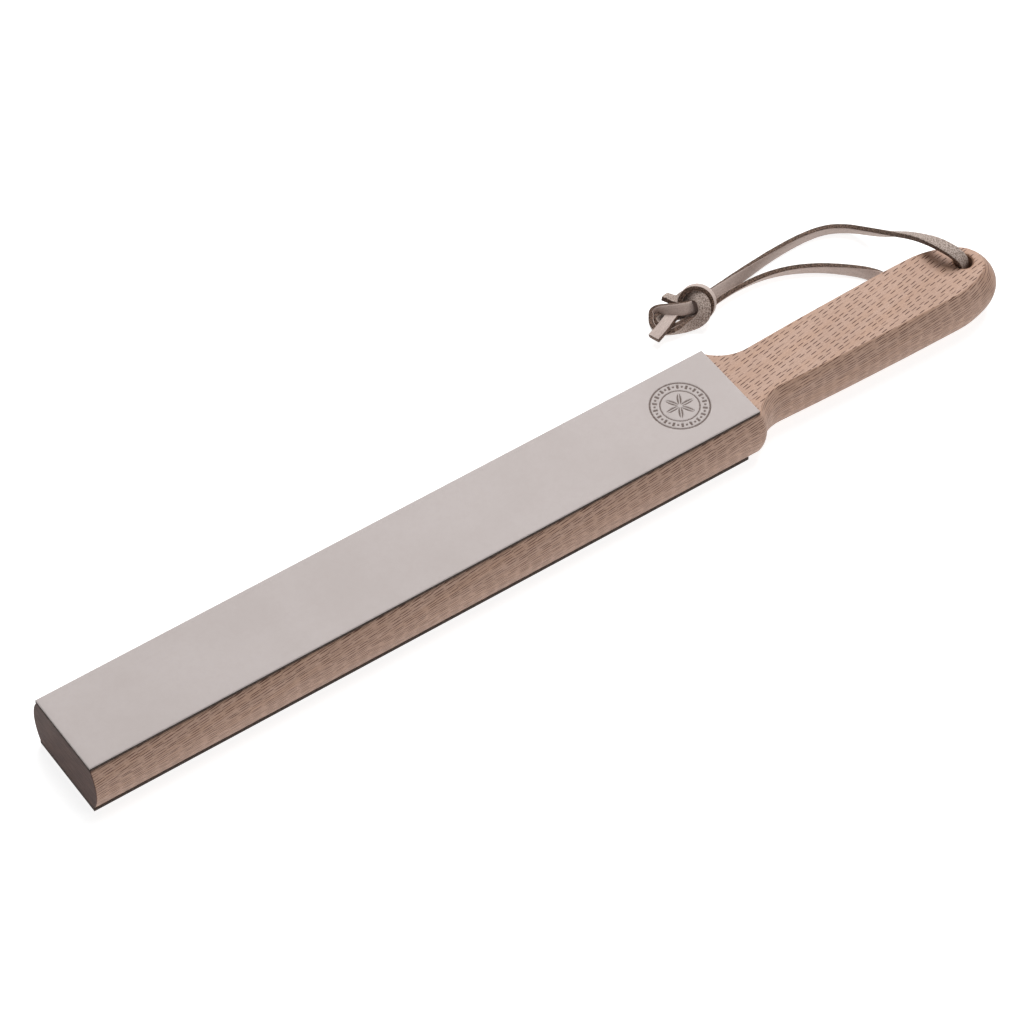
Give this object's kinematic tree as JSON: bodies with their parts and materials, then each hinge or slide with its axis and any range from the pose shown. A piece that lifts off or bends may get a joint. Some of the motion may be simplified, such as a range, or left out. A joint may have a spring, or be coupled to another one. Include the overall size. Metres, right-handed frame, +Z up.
{
  "type": "leather strop",
  "caption": "Paddle strop for honing carving knives: a wooden paddle with smooth leather bonded to both faces and a knotted leather hanging lace through the handle.",
  "frame": {"origin": "centre of the paddle's bounding box in plan, on the surface that its under leather rests on; the lace isn't counted", "axes": "+X along the paddle from the tip to the butt of the handle, +Z up through both leathers, +Y to the side on which the lace lies"},
  "size_m": [0.45, 0.0935, 0.0338],
  "materials": {
    "beech": "planed and sanded beech, lightly oiled, satin",
    "strop_leather": "smooth pale vegetable-tanned leather, matt",
    "lace_leather": "grey-brown lace leather, smooth on one side and suede on the other",
    "adhesive": "cured contact adhesive, dull"
  },
  "bodies": {
    "paddle": {"paddle_body": "beech", "glue_film_top": "adhesive", "glue_film_bottom": "adhesive", "strop_leather_top": "strop_leather", "strop_leather_bottom": "strop_leather"},
    "lanyard": {"lanyard_upper_strand": "lace_leather", "lanyard_lower_strand": "lace_leather", "lanyard_knot": "lace_leather", "lanyard_tail_long": "lace_leather", "lanyard_tail_short": "lace_leather"}
  },
  "joints": [
    {"name": "lanyard_swing", "type": "hinge", "parent": "paddle", "child": "lanyard", "pos_m": [0.211, 0, 0.0138], "axis": [0, 0, 1], "range_deg": [-110, 10]}
  ]
}
